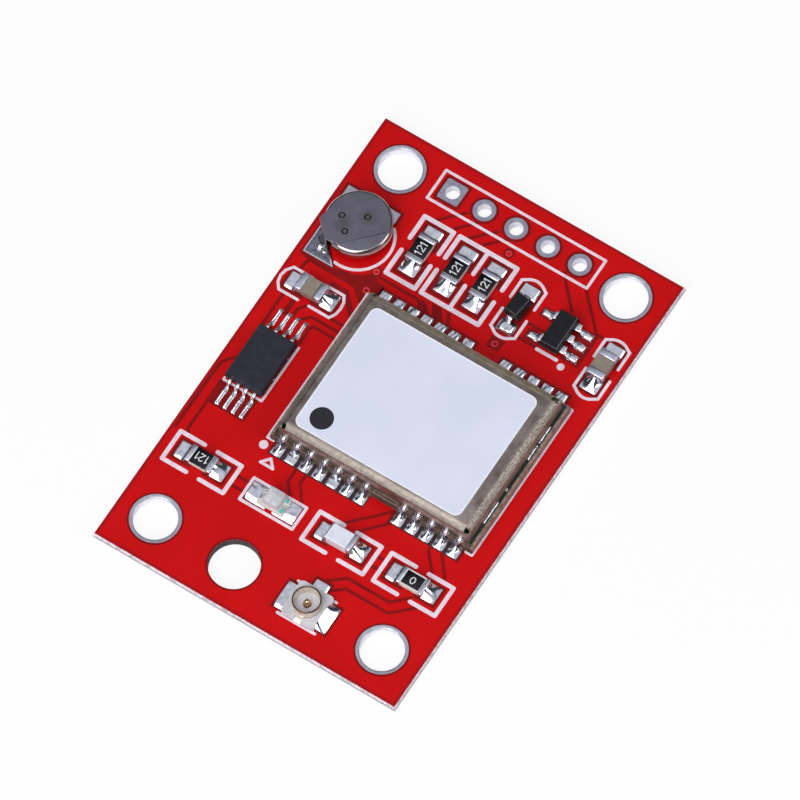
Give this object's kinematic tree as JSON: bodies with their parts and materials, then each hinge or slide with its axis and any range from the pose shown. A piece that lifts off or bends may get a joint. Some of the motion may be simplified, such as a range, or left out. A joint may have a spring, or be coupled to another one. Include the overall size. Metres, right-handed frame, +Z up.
{
  "type": "gps module",
  "caption": "Red satellite receiver breakout board with a shielded receiver module, backup cell, antenna socket, chip parts, plated screw holes and a header hole row.",
  "frame": {"origin": "middle of the board's underside", "axes": "+Z up out of the component side, +Y towards the edge with the header holes, +X along the short edge"},
  "size_m": [0.024, 0.036, 0.0033],
  "materials": {
    "red_board": "glass-epoxy laminate under glossy red solder mask",
    "module_board": "glass-epoxy laminate under dark solder mask, soldered pads",
    "shield": "folded nickel-silver sheet, satin",
    "label": "bluish-white coated label stock",
    "black_package": "moulded black epoxy",
    "memory_package": "moulded blue-black epoxy",
    "ceramic": "fired ceramic",
    "cell_steel": "drawn stainless steel",
    "tab_steel": "rolled stainless strip, spot welded",
    "socket_plastic": "pale moulded polymer",
    "socket_metal": "plated phosphor bronze",
    "gold": "gold plating",
    "tin": "bright soldered tin",
    "led_base": "white laminate",
    "led_lens": "milky resin",
    "resistor": "white ceramic with a black overcoat",
    "capacitor": "sintered tan ceramic",
    "coil_body": "white coating over ferrite"
  },
  "bodies": {
    "root": {"pcb": "red_board", "receiver_board": "module_board", "shield_can": "shield", "module_label": "label", "receiver_chip": "black_package", "reference_oscillator": "ceramic", "antenna_filter": "ceramic", "clock_crystal": "ceramic", "backup_cell": "cell_steel", "cell_top_tab": "tab_steel", "cell_bottom_tab": "tab_steel", "antenna_socket_housing": "socket_plastic", "antenna_socket_shell": "socket_metal", "antenna_socket_pin": "gold", "regulator_body": "black_package", "regulator_lead_1": "tin", "regulator_lead_2": "tin", "regulator_lead_3": "tin", "regulator_lead_4": "tin", "regulator_lead_5": "tin", "memory_chip_body": "memory_package", "memory_lead_1": "tin", "memory_lead_2": "tin", "memory_lead_3": "tin", "memory_lead_4": "tin", "memory_lead_5": "tin", "memory_lead_6": "tin", "memory_lead_7": "tin", "memory_lead_8": "tin", "diode_body": "black_package", "diode_lead_1": "tin", "diode_lead_2": "tin", "led_base": "led_base", "led_lens": "led_lens", "led_terminal_1": "tin", "led_terminal_2": "tin", "resistor_1_body": "resistor", "resistor_1_end_1": "tin", "resistor_1_end_2": "tin", "resistor_2_body": "resistor", "resistor_2_end_1": "tin", "resistor_2_end_2": "tin", "resistor_3_body": "resistor", "resistor_3_end_1": "tin", "resistor_3_end_2": "tin", "resistor_4_body": "resistor", "resistor_4_end_1": "tin", "resistor_4_end_2": "tin", "resistor_5_body": "resistor", "resistor_5_end_1": "tin", "resistor_5_end_2": "tin", "capacitor_1_body": "capacitor", "capacitor_1_end_1": "tin", "capacitor_1_end_2": "tin", "capacitor_2_body": "capacitor", "capacitor_2_end_1": "tin", "capacitor_2_end_2": "tin", "inductor_body": "coil_body", "inductor_end_1": "tin", "inductor_end_2": "tin"}
  },
  "joints": []
}
